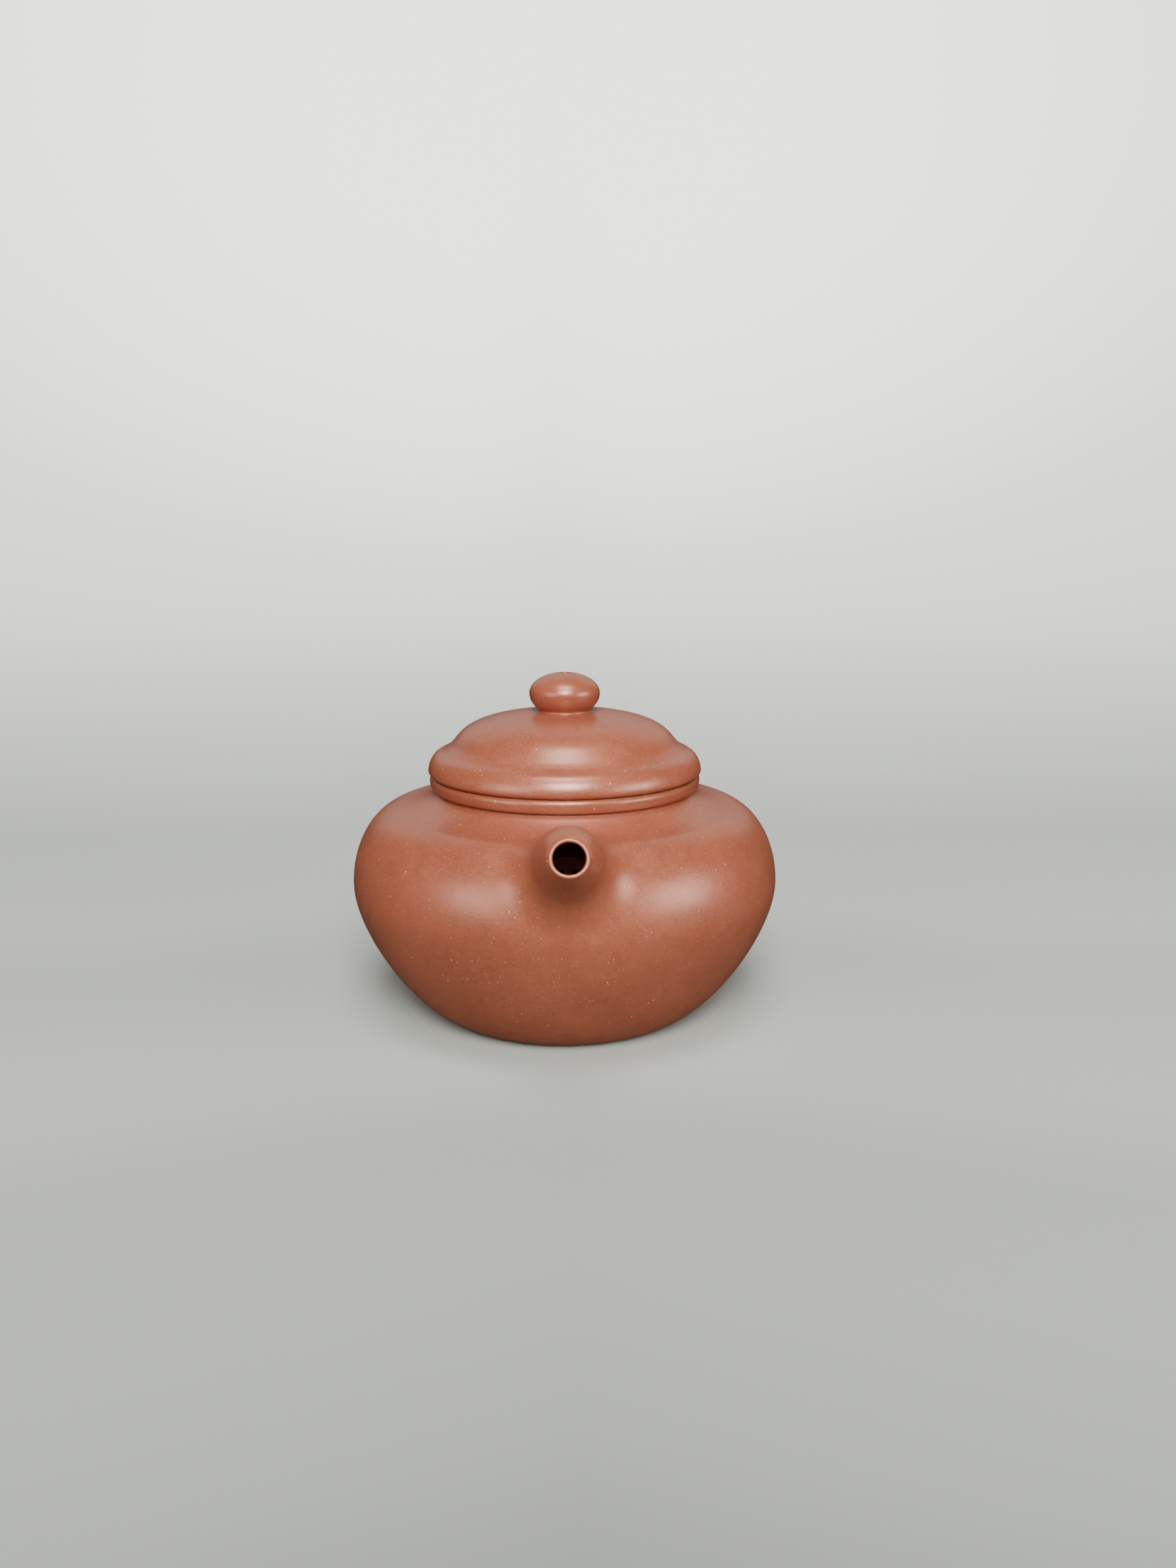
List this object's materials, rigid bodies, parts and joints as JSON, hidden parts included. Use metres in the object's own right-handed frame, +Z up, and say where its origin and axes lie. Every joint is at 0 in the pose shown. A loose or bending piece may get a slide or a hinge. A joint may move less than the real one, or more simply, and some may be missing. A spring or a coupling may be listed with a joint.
{
  "type": "teapot",
  "caption": "Small unglazed red-brown clay teapot with a wide low belly, short bent spout, ear handle and a domed lid with a flat ball knob that lifts off.",
  "frame": {"origin": "centre of the pot's flat foot, on the surface that it stands on", "axes": "+Z up along the turning axis, the spout points along -Y, the handle along +Y, and X is across the pot"},
  "size_m": [0.1, 0.1483, 0.08],
  "materials": {
    "clay_body": "unglazed fired red-brown clay, satin from rubbing, fine sandy grain with pale and dark specks",
    "clay_lid": "the same clay, a little warmer where it faces the light",
    "clay_lines": "the same clay, pressed and burnished on the rolled rings",
    "clay_inner": "the same clay, left duller where it was not rubbed"
  },
  "bodies": {
    "pot": {"base_disc": "clay_inner", "body_wall": "clay_body", "shoulder_disc": "clay_body", "mouth_ring": "clay_lines", "spout": "clay_body", "strainer": "clay_inner", "handle": "clay_body"},
    "bezel": {"lid_bezel": "clay_inner"},
    "lid": {"lid_plate": "clay_lid", "lid_edge": "clay_lines", "knob": "clay_lid"}
  },
  "joints": [
    {"name": "lid_lift", "type": "slide", "parent": "pot", "child": "bezel", "axis": [0, 0, 1], "range_m": [0, 0.06]},
    {"name": "lid_turn", "type": "hinge", "parent": "bezel", "child": "lid", "pos_m": [0, 0, 0.0565], "axis": [0, 0, 1], "continuous": true}
  ]
}
